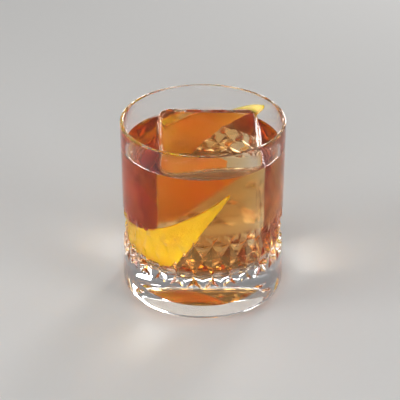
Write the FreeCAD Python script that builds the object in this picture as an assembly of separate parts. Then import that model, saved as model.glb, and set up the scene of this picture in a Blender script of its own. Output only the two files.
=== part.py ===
"""Vieux carre cocktail: a cut rocks glass with the drink, one large block of clear ice and a lemon peel.

Millimetres, +Z up, origin at the middle of the glass's underside, +Y away from the side that is looked at.
"""
import FreeCAD, Part
import math
import os

# Glass
GLASS_RADIUS = 41.0          # straight outer wall
GLASS_HEIGHT = 92.0
FOOT_RADIUS = 41.7           # the thick foot flares a little
FOOT_TOP = 22.0              # where the flare starts
FOOT_EDGE = 3.0              # rounding of the bottom edge
PUNT_RADIUS = 21.0           # dished hollow in the underside
PUNT_DEPTH = 3.7
LIP_WALL = 1.7               # wall at the rim
CAVITY_RADIUS = 37.0         # inside, just above the floor's rounding
FLOOR_HEIGHT = 19.0
FLOOR_ROUNDING = 10.5
FLOOR_SAG = 0.8              # the floor is dished a little

# Cut band: two families of straight wheel cuts that lean opposite ways and cross. They are wide
# enough to meet, so that what stands between them in the middle rows is a pointed pyramid.
CUTS_ROUND = 28
CUT_MIDDLE = 33.6            # height of the middle crossings
CUT_ROW = 8.6                # from one row of crossings to the next
CUT_REACH = 14.4             # the cuts run out this far above and below their middle
CUT_DEPTH = 2.3
CUT_SPREAD = 3.0             # half width of a cut for each millimetre of its depth
CUT_RISE = 2.6               # how far a cutter's V reaches out from its keel
CUT_SECTIONS = (-1.15, -0.6, 0.0, 0.6, 1.15)   # along a cutter, as shares of the reach

# Contents
DRINK_LEVEL = 78.0
ICE_TOP = 85.3
ICE_BOTTOM = 22.0
# x, y and rounding of the block's upright edges: front left, front right, back right, back left
ICE_CORNERS = [(-20.4, -32.0, 8.0), (28.2, -25.4, 4.5), (28.3, 26.3, 6.5), (-23.6, 27.8, 6.5)]
ICE_TOP_ROUNDING = 3.0
ICE_BOTTOM_ROUNDING = 7.0
PEEL_THICKNESS = 1.8
PEEL_CLEARANCE = 0.3         # from the glass's wall
PEEL_FOOT = 24.5             # lowest edge, on the floor's rounding
# The peel's edges lie in planes z = height + x_rise * x + y_rise * y
PEEL_UPPER_EDGE = (65.9, 0.668, 0.133)
PEEL_FRONT_END = (49.5, 1.494, 0.0)
PEEL_BACK_END = (35.0, 1.70, 0.0)

V = FreeCAD.Vector
UP = V(0, 0, 1)
WIDE = 200.0                 # half size of a cutting block, larger than the part


def arc(start, middle, end):
    """Edge along the arc through three points."""
    return Part.Arc(start, middle, end).toShape()


def turned(edges):
    """Solid that a closed half section in the XZ plane makes when turned about Z."""
    return Part.Face(Part.Wire(edges)).revolve(V(0, 0, 0), UP, 360)


def in_section(radius, height):
    """Point of a half section."""
    return V(radius, 0, height)


def wall_radius(height):
    """Inner radius of the glass: straight, and slightly wider towards the rim."""
    rim = GLASS_RADIUS - LIP_WALL
    share = (height - FLOOR_HEIGHT - FLOOR_ROUNDING) / (GLASS_HEIGHT - FLOOR_HEIGHT - FLOOR_ROUNDING)
    return CAVITY_RADIUS + (rim - CAVITY_RADIUS) * share


def cavity(inset, top):
    """Inside of the glass up to a height, drawn in all round by an inset."""
    rounding = FLOOR_ROUNDING - inset
    middle_r = CAVITY_RADIUS - FLOOR_ROUNDING
    middle_z = FLOOR_HEIGHT + FLOOR_ROUNDING
    floor_middle = in_section(0, FLOOR_HEIGHT - FLOOR_SAG + inset)
    floor_half = in_section(middle_r / 2, FLOOR_HEIGHT - FLOOR_SAG * 0.75 + inset)
    floor_edge = in_section(middle_r, FLOOR_HEIGHT + inset)
    slant = math.radians(45)
    round_half = in_section(middle_r + rounding * math.sin(slant), middle_z - rounding * math.cos(slant))
    wall_foot = in_section(middle_r + rounding, middle_z)
    wall_top = in_section(wall_radius(top) - inset, top)
    axis_top = in_section(0, top)
    return turned([
        arc(floor_middle, floor_half, floor_edge),
        arc(floor_edge, round_half, wall_foot),
        Part.makeLine(wall_foot, wall_top),
        Part.makeLine(wall_top, axis_top),
        Part.makeLine(axis_top, floor_middle),
    ])


def outer_body():
    """Outside of the glass as a full solid: dished punt, rounded edge, flared foot and straight wall."""
    edge_middle_r = FOOT_RADIUS - FOOT_EDGE
    slant = math.radians(45)
    punt_top = in_section(0, PUNT_DEPTH)
    punt_half = in_section(PUNT_RADIUS / 2, PUNT_DEPTH * 0.75)
    punt_edge = in_section(PUNT_RADIUS, 0)
    foot_inner = in_section(edge_middle_r, 0)
    edge_half = in_section(edge_middle_r + FOOT_EDGE * math.sin(slant), FOOT_EDGE * (1 - math.cos(slant)))
    foot_outer = in_section(FOOT_RADIUS, FOOT_EDGE)
    wall_foot = in_section(GLASS_RADIUS, FOOT_TOP)
    wall_top = in_section(GLASS_RADIUS, GLASS_HEIGHT)
    axis_top = in_section(0, GLASS_HEIGHT)
    return turned([
        arc(punt_top, punt_half, punt_edge),
        Part.makeLine(punt_edge, foot_inner),
        arc(foot_inner, edge_half, foot_outer),
        Part.makeLine(foot_outer, wall_foot),
        Part.makeLine(wall_foot, wall_top),
        Part.makeLine(wall_top, axis_top),
        Part.makeLine(axis_top, punt_top),
    ])


def wheel_cut(side):
    """One boat-shaped V cut at azimuth 0 (towards +X), leaning to one side; it runs out at both ends."""
    half_pitch = math.pi * GLASS_RADIUS / CUTS_ROUND
    lean = math.atan2(half_pitch, CUT_ROW) * side
    along = V(0, math.sin(lean), math.cos(lean))
    across = V(0, math.cos(lean), -math.sin(lean))
    out = V(1, 0, 0)
    middle = V(GLASS_RADIUS, 0, CUT_MIDDLE)
    reach = CUT_REACH / math.cos(lean)
    edge = out * CUT_RISE
    spread = across * (CUT_RISE * CUT_SPREAD)
    sections = []
    for share in CUT_SECTIONS:
        distance = share * reach
        depth = CUT_DEPTH * (1 - share * share)
        fall = (distance * math.sin(lean)) ** 2 / (2 * GLASS_RADIUS)
        keel = middle + along * distance - out * (depth + fall)
        sections.append([keel, keel + edge + spread, keel + edge - spread])
    faces = [Part.Face(Part.makePolygon(sections[0] + sections[0][:1])),
             Part.Face(Part.makePolygon(sections[-1] + sections[-1][:1]))]
    for near, far in zip(sections, sections[1:]):
        for first in range(3):
            second = (first + 1) % 3
            corners = [near[first], near[second], far[second], far[first]]
            faces.append(Part.Face(Part.makePolygon(corners + corners[:1])))
    return Part.makeSolid(Part.makeShell(faces))


def cut_band():
    """All the wheel cuts, leaning both ways."""
    cuts = []
    for side in (-1, 1):
        for number in range(CUTS_ROUND):
            cut = wheel_cut(side)
            cut.rotate(V(0, 0, 0), UP, -90 + number * 360.0 / CUTS_ROUND)
            cuts.append(cut)
    return cuts


def make_glass():
    """Thick-footed glass with a rounded lip and the cut band."""
    body = outer_body().cut(cavity(0, GLASS_HEIGHT))
    lip = [edge for edge in body.Edges
           if abs(edge.BoundBox.ZMin - GLASS_HEIGHT) < 0.01 and edge.BoundBox.ZLength < 0.01]
    body = body.makeFillet(LIP_WALL * 0.42, lip)
    return body.cut(cut_band())


def make_ice():
    """One hand-cut block whose edges have melted round."""
    corners = [V(x, y, ICE_BOTTOM) for x, y, rounding in ICE_CORNERS]
    block = Part.Face(Part.makePolygon(corners + corners[:1])).extrude(V(0, 0, ICE_TOP - ICE_BOTTOM))
    for x, y, rounding in ICE_CORNERS:
        upright = [edge for edge in block.Edges
                   if edge.BoundBox.ZLength > 10 and edge.BoundBox.Center.distanceToPoint(
                       V(x, y, (ICE_TOP + ICE_BOTTOM) / 2)) < 0.1]
        block = block.makeFillet(rounding, upright)
    for height, rounding in ((ICE_TOP, ICE_TOP_ROUNDING), (ICE_BOTTOM, ICE_BOTTOM_ROUNDING)):
        rim = [edge for edge in block.Edges
               if abs(edge.BoundBox.ZMin - height) < 0.01 and edge.BoundBox.ZLength < 0.01]
        block = block.makeFillet(rounding, rim)
    return block


def half_space(plane, above):
    """Large block on one side of a plane z = height + x_rise * x + y_rise * y."""
    height, x_rise, y_rise = plane
    normal = V(-x_rise, -y_rise, 1).normalize()
    block = Part.makeBox(2 * WIDE, 2 * WIDE, WIDE, V(-WIDE, -WIDE, 0 if above else -WIDE))
    block.Placement = FreeCAD.Placement(V(0, 0, height), FreeCAD.Rotation(UP, normal))
    return block


def make_peel():
    """Broad strip of peel that hugs the wall in a U round the ice, open to +X, both ends cut to a point."""
    top = GLASS_HEIGHT - 0.5
    skin = cavity(PEEL_CLEARANCE, top).cut(cavity(PEEL_CLEARANCE + PEEL_THICKNESS, top))
    strip = skin.common(half_space(PEEL_UPPER_EDGE, above=False))
    strip = strip.common(half_space((PEEL_FOOT, 0, 0), above=True))
    halves = []
    for end, y_start in ((PEEL_FRONT_END, -WIDE), (PEEL_BACK_END, 0)):
        side = Part.makeBox(2 * WIDE, WIDE, 2 * WIDE, V(-WIDE, y_start, -WIDE))
        halves.append(strip.common(side).common(half_space(end, above=True)))
    return halves[0].fuse(halves[1]).removeSplitter()


def make_drink(ice, peel):
    """The drink up to its level, cut round the ice and the peel."""
    return cavity(0, DRINK_LEVEL).cut([ice, peel])


def export(shape, name):
    """Write one solid as its own STEP file."""
    solid = shape.Solids[0] if len(shape.Solids) == 1 else shape
    print(name, "solids", len(shape.Solids), "faces", len(solid.Faces), "valid", solid.isValid(),
          "volume", round(solid.Volume / 1000, 2), "cm3")
    solid.exportStep("parts/" + name + ".step")


os.makedirs("parts", exist_ok=True)
ice_block = make_ice()
lemon_peel = make_peel()
export(make_glass(), "glass")
export(ice_block, "ice")
export(lemon_peel, "lemon_peel")
export(make_drink(ice_block, lemon_peel), "drink")
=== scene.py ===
"""Looks of the vieux carre cocktail: cut rocks glass, amber drink, one clear ice block, lemon peel.

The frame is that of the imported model: +Z up, origin at the middle of the glass's underside.
Shapes are worked out in millimetres, and mesh_object turns them into Blender's metres. The camera,
the studio and the depth of bumps are in metres.
"""
import math

import bmesh
import bpy
import numpy as np
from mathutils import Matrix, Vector


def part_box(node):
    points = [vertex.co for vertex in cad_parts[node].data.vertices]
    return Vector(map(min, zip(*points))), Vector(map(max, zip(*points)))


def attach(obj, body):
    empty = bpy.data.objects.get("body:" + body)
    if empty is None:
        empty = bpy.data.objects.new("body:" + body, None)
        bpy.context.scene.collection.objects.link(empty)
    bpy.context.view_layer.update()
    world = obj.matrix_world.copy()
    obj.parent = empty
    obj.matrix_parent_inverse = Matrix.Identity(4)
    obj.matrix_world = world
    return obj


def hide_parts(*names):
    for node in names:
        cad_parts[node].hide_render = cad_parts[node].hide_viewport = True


MM = 0.001

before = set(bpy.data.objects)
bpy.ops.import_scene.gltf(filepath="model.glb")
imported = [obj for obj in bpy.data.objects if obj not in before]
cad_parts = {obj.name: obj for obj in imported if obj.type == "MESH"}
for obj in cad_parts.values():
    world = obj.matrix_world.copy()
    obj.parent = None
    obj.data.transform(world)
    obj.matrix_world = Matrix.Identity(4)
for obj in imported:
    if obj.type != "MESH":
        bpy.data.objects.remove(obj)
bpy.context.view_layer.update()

# ---------------------------------------------------------------- sizes, in millimetres
GLASS_BOX = np.array(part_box("glass")) / MM
ICE_BOX = np.array(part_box("ice")) / MM
GLASS_HEIGHT = float(GLASS_BOX[1][2])
DRINK_LEVEL = float(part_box("drink")[1][2]) / MM
ICE_TOP = float(ICE_BOX[1][2])
ICE_BOTTOM = float(ICE_BOX[0][2])

# Glass
GLASS_RADIUS = 41.0          # straight outer wall
FOOT_RADIUS = float(GLASS_BOX[1][0])
FOOT_TOP = 22.0              # the foot flares below this height
FOOT_EDGE = 3.0              # rounding of the bottom edge
PUNT_RADIUS = 21.0           # dished hollow in the underside
PUNT_DEPTH = 3.7
LIP_WALL = 1.7               # wall at the rim
CAVITY_RADIUS = 37.0         # inside, just above the floor's rounding
FLOOR_HEIGHT = 19.0
FLOOR_ROUNDING = 10.5
FLOOR_SAG = 0.8              # the floor is dished a little

# Cut band: two families of wheel cuts that lean opposite ways and cross
CUTS_ROUND = 28              # cuts in each family
CUT_MIDDLE = 33.6            # height of the middle crossings
CUT_ROW = 8.6                # from one row of crossings to the next
CUT_REACH = 14.4             # the cuts run out this far above and below their middle
CUT_DEPTH = 2.3
CUT_SPREAD = 3.0             # half width of a cut for each millimetre of its depth
CUT_PITCH = 2 * math.pi / CUTS_ROUND
CUT_STEPS = 12               # mesh cells to a row of crossings, and to half a pitch
BAND_ROWS = math.ceil(CUT_REACH / CUT_ROW * CUT_STEPS)    # mesh cells above and below the middle

# Ice: x, y and rounding of the block's upright edges
ICE_CORNERS = [(-20.4, -32.0, 8.0), (28.2, -25.4, 4.5), (28.3, 26.3, 6.5), (-23.6, 27.8, 6.5)]
ICE_TOP_ROUNDING = 3.0
ICE_BOTTOM_ROUNDING = 7.0
ICE_MIDDLE = np.array([2.8, -0.8, 50.0])     # a ray from here leaves the block only once
ICE_RAY = 70.0               # longer than any such ray
ICE_GRID = 88                # mesh cells along each edge
ICE_GRID_HALF = (25.7, 29.5, (ICE_TOP - ICE_BOTTOM) / 2)    # half sizes of the gridded box
ICE_CROWDING = 0.65          # how much the grid crowds towards the box's edges, 0 to 1
BISECTIONS = 34

# Drink
OVERLAP = 0.12               # the drink reaches this far into the glass, and the ice into the drink
MENISCUS = 1.0               # how high the drink climbs where it touches
MENISCUS_WIDTH = 1.1
MENISCUS_LIMIT = 1.15        # most that two climbs add up to where they meet, as a share of one
DRINK_COLUMNS = 288
DRINK_TOP_STEPS = 30         # from the wall to the ice
DRINK_ICE_STEPS = 60         # from the waterline down round the ice to below its middle

# Peel. Its edges lie in planes z = height + x_rise * x + y_rise * y
PEEL_THICKNESS = 1.8
PEEL_CLEARANCE = 0.3         # from the glass's wall
PEEL_STAND_OFF = 0.3         # further in by this, so that its waves clear the wall too
PEEL_FOOT = 24.5             # lowest edge, on the floor's rounding
PEEL_UPPER_EDGE = (65.9, 0.668, 0.133)
PEEL_FRONT_END = (49.5, 1.494, 0.0)
PEEL_BACK_END = (35.0, 1.70, 0.0)
PEEL_CORNER = 2.0            # softness of the corner between an end and the lowest edge
PEEL_LEAST_WIDTH = 0.05      # the strip stops where it gets narrower than this
PEEL_EDGE_SHARE = 0.04       # least thickness at its edges, as a share of the full one
PEEL_AZIMUTHS = (19.0, -234.5, 331)          # degrees from the front: first, last, how many
PEEL_ACROSS = 44             # mesh points across one side

# Edges that fold by more than this many degrees are shaded crisp: the facets of the cuts, and the
# drink's fold at the waterline, which would otherwise draw a black line
GLASS_CREASE = 9
DRINK_CREASE = 40

# ---------------------------------------------------------------- surfaces
OPEN_GLOSS = 0.5             # in air: half the head-on mirroring, so the pale floor veils it less
WET_GLOSS = 0.0              # where glass, drink and ice touch, only grazing light is mirrored
WET_ICE_ROUGHNESS = 0.18
OPEN_ICE_ROUGHNESS = 0.05

GLASS_IOR = 1.52
ICE_IOR = 1.31
DRINK_IOR = 1.36
DRINK_COLOUR = (0.892, 0.608, 0.012, 1)
DRINK_DENSITY = 130.0

ZEST_COLOURS = ((0.84, 0.52, 0.006, 1), (0.90, 0.64, 0.015, 1))
PITH_COLOURS = ((0.84, 0.66, 0.17, 1), (0.90, 0.75, 0.27, 1))

# ---------------------------------------------------------------- camera and studio, in metres
CAMERA_ELEVATION = math.radians(29.77)
CAMERA_DISTANCE = 0.636
CAMERA_TARGET = (-0.0015, 0.0, 0.0456)
CAMERA_LENS = 111.9          # millimetres, like the sensor's width
CAMERA_SENSOR = 36.0

AIR_FILM = 0.3 * MM          # between the foot and the floor, like that under a real glass
FLOOR_HALF = 3.0
FLOOR_COLOUR = (0.76, 0.75, 0.73, 1)
WORLD_COLOUR = (0.75, 0.75, 0.76, 1)
WORLD_STRENGTH = 0.30

LAMP_SPREAD = math.radians(100.0)            # keeps the floor under the lamps from glaring
LAMP_TARGET = (0, 0, 0.045)
LAMPS = [                    # name, place, width and height, watts
    ("soft_left", (-1.05, -0.35, 0.28), (0.6, 0.5), 2.65),
    ("soft_right", (1.0, -0.65, 0.28), (0.5, 0.5), 1.95),
    ("soft_front", (-0.15, -1.15, 0.32), (1.0, 0.55), 3.2),
    ("rim_back", (0.50, 1.0, 0.26), (0.3, 0.45), 1.95),
    ("low_back", (-0.25, 1.15, 0.13), (0.9, 0.10), 0.9),
]


# ---------------------------------------------------------------- mesh helpers
def mesh_object(name, points, faces, smooth=True):
    """Object from points in millimetres and faces."""
    mesh = bpy.data.meshes.new(name)
    places = (np.asarray(points, dtype=float) * MM).tolist()
    mesh.from_pydata(places, [], [list(map(int, face)) for face in faces])
    mesh.validate()
    mesh.update()
    mesh.polygons.foreach_set("use_smooth", [smooth] * len(mesh.polygons))
    obj = bpy.data.objects.new(name, mesh)
    bpy.context.collection.objects.link(obj)
    return obj


def set_point_values(obj, name, values):
    """Attribute that gives each point of a mesh a number."""
    attribute = obj.data.attributes.new(name, "FLOAT", "POINT")
    attribute.data.foreach_set("value", np.asarray(values, dtype=float))


def sharpen(obj, degrees):
    """Marks the edges that fold by more than an angle, so that they are shaded crisp."""
    mesh = bmesh.new()
    mesh.from_mesh(obj.data)
    limit = math.radians(degrees)
    for edge in mesh.edges:
        edge.smooth = len(edge.link_faces) != 2 or edge.calc_face_angle(0) < limit
    mesh.to_mesh(obj.data)
    mesh.free()


def arc_points(centre, radius, start, end, count):
    """Points of a section arc (r, z), angles in degrees from +r towards +z."""
    angles = np.radians(np.linspace(start, end, count))
    return [(centre[0] + radius * math.cos(a), centre[1] + radius * math.sin(a)) for a in angles]


def line_points(start, end, count):
    """Evenly spaced points of a section line, both ends included."""
    return [tuple(p) for p in np.linspace(start, end, count)]


def eased(count):
    """Shares from 0 to 1 that crowd towards both ends."""
    return 0.5 - 0.5 * np.cos(np.linspace(0, math.pi, count))


def ring_cell(row, col, columns):
    """Corners of one cell in a tube of rings, where each ring holds the same number of points."""
    nxt = (col + 1) % columns
    return (row * columns + col, row * columns + nxt,
            (row + 1) * columns + nxt, (row + 1) * columns + col)


def ring_grid(rings, columns):
    """Faces of a tube of rings."""
    return [ring_cell(row, col, columns) for row in range(rings - 1) for col in range(columns)]


def cap(points, faces, ring, columns, centre, flip):
    """Fan that closes a ring, given by its number, on a middle point."""
    points.append(centre)
    middle = len(points) - 1
    for col in range(columns):
        tri = (ring * columns + col, ring * columns + (col + 1) % columns, middle)
        faces.append(tri[::-1] if flip else tri)


# ---------------------------------------------------------------- glass
def outer_radius(height):
    """Outer radius of the uncut wall: straight, and flared towards the foot."""
    flare = np.clip((FOOT_TOP - height) / (FOOT_TOP - FOOT_EDGE), 0, 1)
    return GLASS_RADIUS + (FOOT_RADIUS - GLASS_RADIUS) * flare


def wall_radius(height):
    """Inner radius of the glass at a height on its wall, slightly wider towards the rim."""
    low = FLOOR_HEIGHT + FLOOR_ROUNDING
    widening = GLASS_RADIUS - LIP_WALL - CAVITY_RADIUS
    return CAVITY_RADIUS + widening * (height - low) / (GLASS_HEIGHT - low)


def cavity_points(inset, top, floor_count, arc_count, wall_count):
    """Section of the cavity from beside the floor's middle up the wall, drawn in by an inset."""
    centre = (CAVITY_RADIUS - FLOOR_ROUNDING, FLOOR_HEIGHT + FLOOR_ROUNDING)
    section = [(r, FLOOR_HEIGHT + inset - FLOOR_SAG * (1 - (r / centre[0]) ** 2))
               for r in np.linspace(0, centre[0], floor_count + 1)[1:]]
    section += arc_points(centre, FLOOR_ROUNDING - inset, -90, 0, arc_count)[1:]
    wall_foot = (CAVITY_RADIUS - inset, centre[1])
    section += line_points(wall_foot, (wall_radius(top) - inset, top), wall_count)[1:]
    return section


def cut_depth(azimuth, height):
    """Depth of the crossing wheel cuts at a place on the wall."""
    lean = math.atan2(GLASS_RADIUS * CUT_PITCH / 2, CUT_ROW)
    keel = CUT_DEPTH * (1 - ((height - CUT_MIDDLE) / CUT_REACH) ** 2)
    depth = np.zeros(np.broadcast(azimuth, height).shape)
    for side in (-1, 1):
        shift = side * (height - CUT_MIDDLE) / CUT_ROW * CUT_PITCH / 2
        off = (azimuth + math.pi / 2 - shift + CUT_PITCH / 2) % CUT_PITCH - CUT_PITCH / 2
        across = np.abs(off) * GLASS_RADIUS * math.cos(lean)
        wall_fall = across ** 2 / (2 * GLASS_RADIUS)    # a cut's sides are flat, the wall is round
        depth = np.maximum(depth, keel - across / CUT_SPREAD - wall_fall)
    return depth


def glass_section():
    """Half section of the glass: out along the underside, up the wall, over the lip and down.

    It comes in four lists: below the cut band, the band, above it and over the lip, and inside.
    """
    lip_round = LIP_WALL / 2
    lip_middle = (GLASS_RADIUS - lip_round, GLASS_HEIGHT - lip_round)
    edge_middle = (FOOT_RADIUS - FOOT_EDGE, FOOT_EDGE)
    band = [(GLASS_RADIUS, CUT_MIDDLE + row * CUT_ROW / CUT_STEPS)
            for row in range(-BAND_ROWS, BAND_ROWS + 1)]
    band_foot = (outer_radius(band[0][1]), band[0][1])
    below = [(r, PUNT_DEPTH * (1 - (r / PUNT_RADIUS) ** 2))
             for r in np.linspace(0, PUNT_RADIUS, num=9)[1:]]
    below += line_points((PUNT_RADIUS, 0), (edge_middle[0], 0), count=4)[1:]
    below += arc_points(edge_middle, FOOT_EDGE, -90, 0, count=9)[1:]
    below += line_points((FOOT_RADIUS, FOOT_EDGE), band_foot, count=6)[1:-1]
    above = line_points(band[-1], (GLASS_RADIUS, lip_middle[1]), count=8)[1:]
    above += arc_points(lip_middle, lip_round, 0, 180, count=11)[1:]
    inside = cavity_points(0, lip_middle[1], floor_count=10, arc_count=16, wall_count=24)
    return below, band, above, inside[:-1][::-1]


def follows_rising_cut(row, col):
    """Whether a band cell is nearer to a cut that rises with the azimuth; row 0 is the middle."""
    pitch = 2 * CUT_STEPS
    rising = (col - row) % pitch
    falling = (col + row + 1) % pitch
    return min(rising, pitch - rising) <= min(falling, pitch - falling)


def make_glass():
    """Foot, straight wall, rounded lip and the cut band, as one closed mesh."""
    columns = 2 * CUT_STEPS * CUTS_ROUND
    below, band, above, inside = glass_section()
    section = np.array(below + band + above + inside)
    rows = len(section)
    number = np.arange(rows)
    in_band = (number >= len(below)) & (number < len(below) + len(band))

    azimuth = np.arange(columns) * 2 * math.pi / columns
    height = np.repeat(section[:, 1:], columns, axis=1)
    cut_wall = outer_radius(height) - cut_depth(azimuth[None, :], height)
    radius = np.where(in_band[:, None], cut_wall, section[:, :1])
    points = np.stack([radius * np.cos(azimuth), radius * np.sin(azimuth), height], axis=2)
    points = points.reshape(-1, 3).tolist()

    faces = []
    for row in range(rows - 1):
        banded = in_band[row] and in_band[row + 1]
        for col in range(columns):
            a, b, c, d = ring_cell(row, col, columns)
            if not banded:
                faces.append((a, b, c, d))
            elif follows_rising_cut(row - len(below) - BAND_ROWS, col):
                faces += [(a, b, c), (a, c, d)]
            else:
                faces += [(a, b, d), (b, c, d)]
    cap(points, faces, 0, columns, (0, 0, PUNT_DEPTH), flip=True)
    cap(points, faces, rows - 1, columns, (0, 0, FLOOR_HEIGHT - FLOOR_SAG), flip=False)
    glass = mesh_object("cut_glass", points, faces)
    sharpen(glass, GLASS_CREASE)

    wet = (number >= rows - len(inside)) & (section[:, 1] < DRINK_LEVEL + MENISCUS)
    gloss = np.repeat(np.where(wet, WET_GLOSS, OPEN_GLOSS), columns)
    set_point_values(glass, "gloss", np.append(gloss, [OPEN_GLOSS, WET_GLOSS]))
    return glass


# ---------------------------------------------------------------- ice
def ice_waves(points):
    """Shallow waves of a hand-cut, half-melted surface; the factors are radians a millimetre."""
    x, y, z = points[..., 0], points[..., 1], points[..., 2]
    slow = np.sin(x * 0.21 + z * 0.11 + 0.6) * np.sin(y * 0.17 - z * 0.14 + 1.1)
    quick = np.sin(x * 0.47 + y * 0.31 + 2.0) * np.sin(z * 0.43 + y * 0.22)
    return 0.22 + 0.22 * slow + 0.10 * quick


def ice_distance(points):
    """Signed distance to the block: upright sides with their corner roundings, top and bottom."""
    corners = np.array([corner[:2] for corner in ICE_CORNERS])
    edges = np.roll(corners, -1, axis=0) - corners
    normals = [np.array([edge[1], -edge[0]]) / np.linalg.norm(edge) for edge in edges]
    offsets = [normal @ corner for normal, corner in zip(normals, corners)]
    whole = np.maximum.reduce([points[..., :2] @ normal - offset
                               for normal, offset in zip(normals, offsets)])
    for k, (_, _, rounding) in enumerate(ICE_CORNERS):
        sides = np.array([normals[k - 1], normals[k]])
        centre = np.linalg.solve(sides, np.array([offsets[k - 1], offsets[k]]) - rounding)
        out = points[..., :2] - centre
        share = out @ np.linalg.inv(sides)
        beyond = (share[..., 0] > 0) & (share[..., 1] > 0)
        whole = np.where(beyond, np.linalg.norm(out, axis=-1) - rounding, whole)
    for level, sign, rounding in ((ICE_TOP, 1, ICE_TOP_ROUNDING),
                                  (ICE_BOTTOM, -1, ICE_BOTTOM_ROUNDING)):
        end = sign * (points[..., 2] - level)
        past_side, past_end = np.maximum(whole + rounding, 0), np.maximum(end + rounding, 0)
        rounded = np.hypot(past_side, past_end) - rounding
        near_edge = (whole > -rounding) & (end > -rounding)
        whole = np.where(near_edge, rounded, np.maximum(whole, end))
    return whole + ice_waves(points)


def hit_ice(directions, inset, start=ICE_MIDDLE):
    """Points where rays from a place inside the block leave it, less an inset."""
    unit = directions / np.linalg.norm(directions, axis=-1, keepdims=True)
    low = np.zeros(directions.shape[:-1])
    high = np.full(directions.shape[:-1], ICE_RAY)
    for _ in range(BISECTIONS):
        mid = (low + high) / 2
        inside = ice_distance(start + unit * mid[..., None]) < -inset
        low = np.where(inside, mid, low)
        high = np.where(inside, high, mid)
    return start + unit * ((low + high) / 2)[..., None]


def box_grid(steps):
    """Points (each coordinate one of the steps) and outward faces of a box, its edges shared."""
    count = len(steps) - 1
    index, points, faces = {}, [], []
    for axis in range(3):
        for end in (0, count):
            for a in range(count):
                for b in range(count):
                    quad = []
                    for da, db in ((0, 0), (1, 0), (1, 1), (0, 1)):
                        cell = [a + da, b + db]
                        cell.insert(axis, end)
                        key = tuple(cell)
                        if key not in index:
                            index[key] = len(points)
                            points.append([steps[k] for k in key])
                        quad.append(index[key])
                    outward = (end == count) == (axis != 1)
                    faces.append(quad if outward else quad[::-1])
    return np.array(points), faces


def make_ice():
    """The block as a box's grid pushed onto its rounded, wavy surface."""
    even = np.linspace(-1, 1, ICE_GRID + 1)
    steps = (1 - ICE_CROWDING) * even + ICE_CROWDING * np.sin(math.pi / 2 * even)
    points, faces = box_grid(steps)
    directions = points * ICE_GRID_HALF
    directions[:, 2] += (ICE_TOP + ICE_BOTTOM) / 2 - ICE_MIDDLE[2]
    surface = hit_ice(directions, inset=0.0)
    ice = mesh_object("ice_block", surface, faces)
    open_above = DRINK_LEVEL + MENISCUS * 0.6
    set_point_values(ice, "gloss", np.where(surface[:, 2] > open_above, OPEN_GLOSS, WET_GLOSS))
    return ice


# ---------------------------------------------------------------- drink
def make_drink():
    """The drink as one closed skin: just under the glass's surface, over the top, round the ice."""
    angle = np.arange(DRINK_COLUMNS) * 2 * math.pi / DRINK_COLUMNS
    around = np.stack([np.cos(angle), np.sin(angle)], axis=1)
    rim_height = DRINK_LEVEL + MENISCUS
    section = cavity_points(-OVERLAP, rim_height, floor_count=6, arc_count=14, wall_count=26)
    rings = [np.column_stack([around * radius, np.full(DRINK_COLUMNS, height)])
             for radius, height in section]

    # over the top, from the wall to the ice, climbing a little at both
    outer = rings[-1]
    level_rays = np.column_stack([around, np.zeros(DRINK_COLUMNS)])
    waterline = hit_ice(level_rays, OVERLAP, start=np.array([*ICE_MIDDLE[:2], rim_height]))
    for share in eased(DRINK_TOP_STEPS + 1)[1:]:
        ring = outer + (waterline - outer) * share
        to_wall = np.maximum(wall_radius(DRINK_LEVEL) - np.hypot(ring[:, 0], ring[:, 1]), 0)
        to_ice = np.linalg.norm((waterline - ring)[:, :2], axis=1)
        climb = np.exp(-to_wall / MENISCUS_WIDTH) + np.exp(-to_ice / MENISCUS_WIDTH)
        ring[:, 2] = DRINK_LEVEL + MENISCUS * np.minimum(climb, MENISCUS_LIMIT)
        rings.append(ring)

    # round the ice, from the waterline to straight below its middle
    top = rings[-1] - ICE_MIDDLE
    start = np.arctan2(top[:, 2], np.hypot(top[:, 0], top[:, 1]))
    down = -math.pi / 2
    for share in np.linspace(0, 1, DRINK_ICE_STEPS + 1)[1:-1]:
        slope = start + (down - start) * share
        rays = np.column_stack([around * np.cos(slope)[:, None], np.sin(slope)])
        rings.append(hit_ice(rays, OVERLAP))

    points = np.concatenate(rings).tolist()
    faces = ring_grid(len(rings), DRINK_COLUMNS)
    floor_middle = (0, 0, FLOOR_HEIGHT - FLOOR_SAG - OVERLAP)
    under_ice = tuple(hit_ice(np.array([[0, 0, -1.0]]), OVERLAP)[0])
    cap(points, faces, 0, DRINK_COLUMNS, floor_middle, flip=True)
    cap(points, faces, len(rings) - 1, DRINK_COLUMNS, under_ice, flip=False)
    drink = mesh_object("drink_body", points, faces)
    sharpen(drink, DRINK_CREASE)

    # the top is in air as far as the ring before the waterline
    number = np.arange(len(rings))
    on_top = (number >= len(section)) & (number < len(section) + DRINK_TOP_STEPS - 1)
    gloss = np.repeat(np.where(on_top, OPEN_GLOSS, WET_GLOSS), DRINK_COLUMNS)
    set_point_values(drink, "gloss", np.append(gloss, [WET_GLOSS, WET_GLOSS]))
    return drink


# ---------------------------------------------------------------- lemon peel
def cavity_radius_at(height, inset):
    """Radius of the cavity on its wall or its floor's rounding, drawn in by an inset."""
    centre_r, centre_z = CAVITY_RADIUS - FLOOR_ROUNDING, FLOOR_HEIGHT + FLOOR_ROUNDING
    fall = np.clip(centre_z - height, 0, FLOOR_ROUNDING - inset)
    on_rounding = centre_r + np.sqrt((FLOOR_ROUNDING - inset) ** 2 - fall ** 2)
    return np.where(height < centre_z, on_rounding, wall_radius(height) - inset)


def plane_height(plane, x, y):
    """Height of a tilted plane over a place."""
    return plane[0] + plane[1] * x + plane[2] * y


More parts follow.
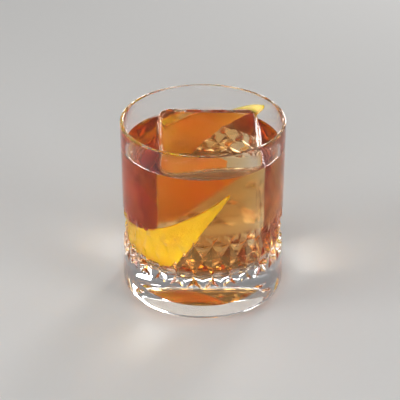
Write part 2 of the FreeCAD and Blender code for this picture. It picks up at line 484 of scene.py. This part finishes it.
def peel_edges(azimuth):
    """Lower and upper edge of the peel at azimuths from the front, positive towards +X."""
    x, y = CAVITY_RADIUS * np.sin(azimuth), -CAVITY_RADIUS * np.cos(azimuth)
    upper = plane_height(PEEL_UPPER_EDGE, x, y)
    end = np.where(y < 0, plane_height(PEEL_FRONT_END, x, y), plane_height(PEEL_BACK_END, x, y))
    lower = PEEL_CORNER * np.logaddexp(end / PEEL_CORNER, PEEL_FOOT / PEEL_CORNER)
    return lower, upper


def peel_ring(azimuth, low, high):
    """Ring of points round the strip's section at one azimuth: up the skin, down the pith."""
    heights = low + (high - low) * eased(PEEL_ACROSS)
    half_full = PEEL_THICKNESS / 2
    from_edge = np.clip(np.minimum(heights - low, high - heights) / half_full, 0, 1)
    swell = np.sqrt(np.clip(1 - (1 - from_edge) ** 2, 0, 1))
    half = half_full * np.maximum(swell, PEEL_EDGE_SHARE)
    slow = 0.15 * np.sin(azimuth * 7 + heights * 0.11)
    quick = 0.09 * np.sin(azimuth * 17 - heights * 0.3)
    inset = PEEL_CLEARANCE + half_full
    middle = cavity_radius_at(heights, inset) - PEEL_STAND_OFF + slow + quick
    skin, pith = [np.stack([radius * np.sin(azimuth), -radius * np.cos(azimuth), heights], axis=1)
                  for radius in (middle + half, middle - half)]
    return np.concatenate([skin, pith[::-1]])


def make_peel():
    """A broad strip bent in a U along the wall; both ends run out to a point."""
    first, last, count = PEEL_AZIMUTHS
    azimuths = np.radians(np.linspace(first, last, count))
    lower, upper = peel_edges(azimuths)
    rings = [peel_ring(azimuth, low, high) for azimuth, low, high in zip(azimuths, lower, upper)
             if high > low + PEEL_LEAST_WIDTH]
    columns = 2 * PEEL_ACROSS
    points = np.concatenate(rings)
    faces = ring_grid(len(rings), columns)
    faces.append(list(range(columns))[::-1])
    faces.append(list(range(len(points) - columns, len(points))))
    peel = mesh_object("peel_strip", points, faces)
    sides = np.repeat([1.0, 0.0], PEEL_ACROSS)
    set_point_values(peel, "skin", np.tile(sides, len(rings)))
    return peel


# ---------------------------------------------------------------- materials
def set_inputs(node, values):
    """Plain values for some of a node's inputs."""
    for socket, value in values.items():
        node.inputs[socket].default_value = value


def new_material(name):
    """Node material and its Principled shader."""
    material = bpy.data.materials.new(name)
    material.use_nodes = True
    return material, material.node_tree.nodes["Principled BSDF"]


def add_node(tree, kind, values=None):
    """New shader node, with some of its inputs set."""
    node = tree.nodes.new("ShaderNode" + kind)
    set_inputs(node, values or {})
    return node


def add_attribute(tree, name):
    """Node that reads one of the mesh's point attributes."""
    node = add_node(tree, "Attribute")
    node.attribute_name = name
    return node


def add_texture(tree, kind, values):
    """Procedural texture in object space."""
    place = add_node(tree, "TexCoord")
    texture = add_node(tree, kind, values)
    tree.links.new(place.outputs["Object"], texture.inputs["Vector"])
    return texture


def add_bump(tree, shader, relief, strength, distance):
    """Fine relief from a texture's output."""
    bump = add_node(tree, "Bump", {"Strength": strength, "Distance": distance})
    tree.links.new(relief, bump.inputs["Height"])
    tree.links.new(bump.outputs["Normal"], shader.inputs["Normal"])


def add_ramp(tree, factor, colours, positions=(0.0, 1.0)):
    """Ramp between two colours, driven by a texture's output."""
    ramp = add_node(tree, "ValToRGB")
    for element, colour, position in zip(ramp.color_ramp.elements, colours, positions):
        element.color = colour
        element.position = position
    tree.links.new(factor, ramp.inputs["Fac"])
    return ramp


def clear_material(name, ior, scale, strength, distance):
    """Clear refracting material with faint relief; the gloss attribute sets how much it mirrors."""
    material, shader = new_material(name)
    tree = material.node_tree
    set_inputs(shader, {"Base Color": (1, 1, 1, 1), "Transmission Weight": 1.0,
                        "IOR": ior, "Roughness": 0.0})
    gloss = add_attribute(tree, "gloss")
    tree.links.new(gloss.outputs["Color"], shader.inputs["Specular Tint"])
    noise = add_texture(tree, "TexNoise", {"Scale": scale, "Detail": 2.0})
    add_bump(tree, shader, noise.outputs["Fac"], strength, distance)
    return material, shader, gloss


def glass_material():
    """Clear polished glass."""
    material, _, _ = clear_material("glass_clear", GLASS_IOR,
                                    scale=55.0, strength=0.05, distance=0.0004)
    return material


def ice_material():
    """Clear ice: smooth where it melts in air, slightly dull below the drink's level."""
    material, shader, gloss = clear_material("ice_clear", ICE_IOR,
                                             scale=120.0, strength=0.10, distance=0.0006)
    tree = material.node_tree
    dulling = add_node(tree, "MapRange", {
        "From Min": WET_GLOSS, "From Max": OPEN_GLOSS,
        "To Min": WET_ICE_ROUGHNESS, "To Max": OPEN_ICE_ROUGHNESS})
    tree.links.new(gloss.outputs["Fac"], dulling.inputs["Value"])
    tree.links.new(dulling.outputs["Result"], shader.inputs["Roughness"])
    return material


def drink_material():
    """Clear amber liquid: its colour deepens with the light's way through it."""
    material, _, _ = clear_material("drink_amber", DRINK_IOR,
                                    scale=70.0, strength=0.04, distance=0.0005)
    tree = material.node_tree
    volume = add_node(tree, "VolumeAbsorption", {"Color": DRINK_COLOUR, "Density": DRINK_DENSITY})
    tree.links.new(volume.outputs["Volume"], tree.nodes["Material Output"].inputs["Volume"])
    return material


def peel_material():
    """Waxy pored yellow zest outside and paler pith inside, mottled and slightly translucent."""
    material, shader = new_material("lemon_skin")
    tree = material.node_tree
    tone = add_texture(tree, "TexNoise", {"Scale": 90.0, "Detail": 4.0})
    zest = add_ramp(tree, tone.outputs["Fac"], ZEST_COLOURS, positions=(0.3, 0.7))
    pith = add_ramp(tree, tone.outputs["Fac"], PITH_COLOURS)
    mix = add_node(tree, "Mix")
    mix.data_type = "RGBA"
    tree.links.new(add_attribute(tree, "skin").outputs["Fac"], mix.inputs["Factor"])
    tree.links.new(pith.outputs["Color"], mix.inputs["A"])
    tree.links.new(zest.outputs["Color"], mix.inputs["B"])
    tree.links.new(mix.outputs["Result"], shader.inputs["Base Color"])
    pores = add_texture(tree, "TexVoronoi", {"Scale": 900.0})
    add_bump(tree, shader, pores.outputs["Distance"], strength=0.5, distance=0.0003)
    set_inputs(shader, {"Roughness": 0.38, "Specular IOR Level": 0.2, "Subsurface Weight": 0.6,
                        "Subsurface Radius": (0.005, 0.003, 0.0008)})
    return material


# ---------------------------------------------------------------- camera and studio
def look_at(obj, target):
    """Turns a lamp or camera so that it faces a point."""
    obj.rotation_euler = (Vector(target) - obj.location).to_track_quat("-Z", "Y").to_euler()


def make_camera():
    """The photograph's view, from the front and above."""
    data = bpy.data.cameras.new("camera")
    data.sensor_width = CAMERA_SENSOR
    data.lens = CAMERA_LENS
    data.clip_start = 0.01
    camera = bpy.data.objects.new("camera", data)
    bpy.context.collection.objects.link(camera)
    camera.location = (CAMERA_TARGET[0],
                       -CAMERA_DISTANCE * math.cos(CAMERA_ELEVATION),
                       CAMERA_TARGET[2] + CAMERA_DISTANCE * math.sin(CAMERA_ELEVATION))
    look_at(camera, CAMERA_TARGET)
    bpy.context.scene.camera = camera


def make_floor():
    """Plain pale matt floor."""
    corners = [(x * FLOOR_HALF, y * FLOOR_HALF, -AIR_FILM)
               for x, y in ((-1, -1), (1, -1), (1, 1), (-1, 1))]
    floor = mesh_object("studio_floor", np.array(corners) / MM, [(0, 1, 2, 3)], smooth=False)
    material, shader = new_material("floor_pale")
    set_inputs(shader, {"Base Color": FLOOR_COLOUR, "Roughness": 0.9, "Specular IOR Level": 0.1})
    floor.data.materials.append(material)


def make_world():
    """Even, dim light from all round."""
    world = bpy.data.worlds.new("studio")
    bpy.context.scene.world = world
    world.use_nodes = True
    background = world.node_tree.nodes["Background"]
    set_inputs(background, {"Color": WORLD_COLOUR, "Strength": WORLD_STRENGTH})


def area_lamp(name, place, size, power):
    """Soft box that faces the glass."""
    data = bpy.data.lights.new(name, "AREA")
    data.shape = "RECTANGLE"
    data.size, data.size_y = size
    data.energy = power
    data.spread = LAMP_SPREAD
    lamp = bpy.data.objects.new(name, data)
    bpy.context.collection.objects.link(lamp)
    lamp.location = place
    look_at(lamp, LAMP_TARGET)


def set_light_paths():
    """Enough bounces for light to pass glass, drink and ice both ways, with nothing blurred."""
    cycles = bpy.context.scene.cycles
    cycles.max_bounces = 48
    cycles.transmission_bounces = 48
    cycles.glossy_bounces = 24
    cycles.diffuse_bounces = 6
    cycles.blur_glossy = 0.0


# ---------------------------------------------------------------- the scene
def paint(obj, material, node):
    """Material, body and the CAD node that the piece stands for, which is hidden."""
    obj.data.materials.append(material)
    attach(obj, "root")
    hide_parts(node)


bpy.context.scene.view_settings.view_transform = "Standard"
set_light_paths()
make_camera()
make_floor()
make_world()
for lamp_values in LAMPS:
    area_lamp(*lamp_values)
paint(make_glass(), glass_material(), "glass")
paint(make_drink(), drink_material(), "drink")
paint(make_ice(), ice_material(), "ice")
paint(make_peel(), peel_material(), "lemon_peel")
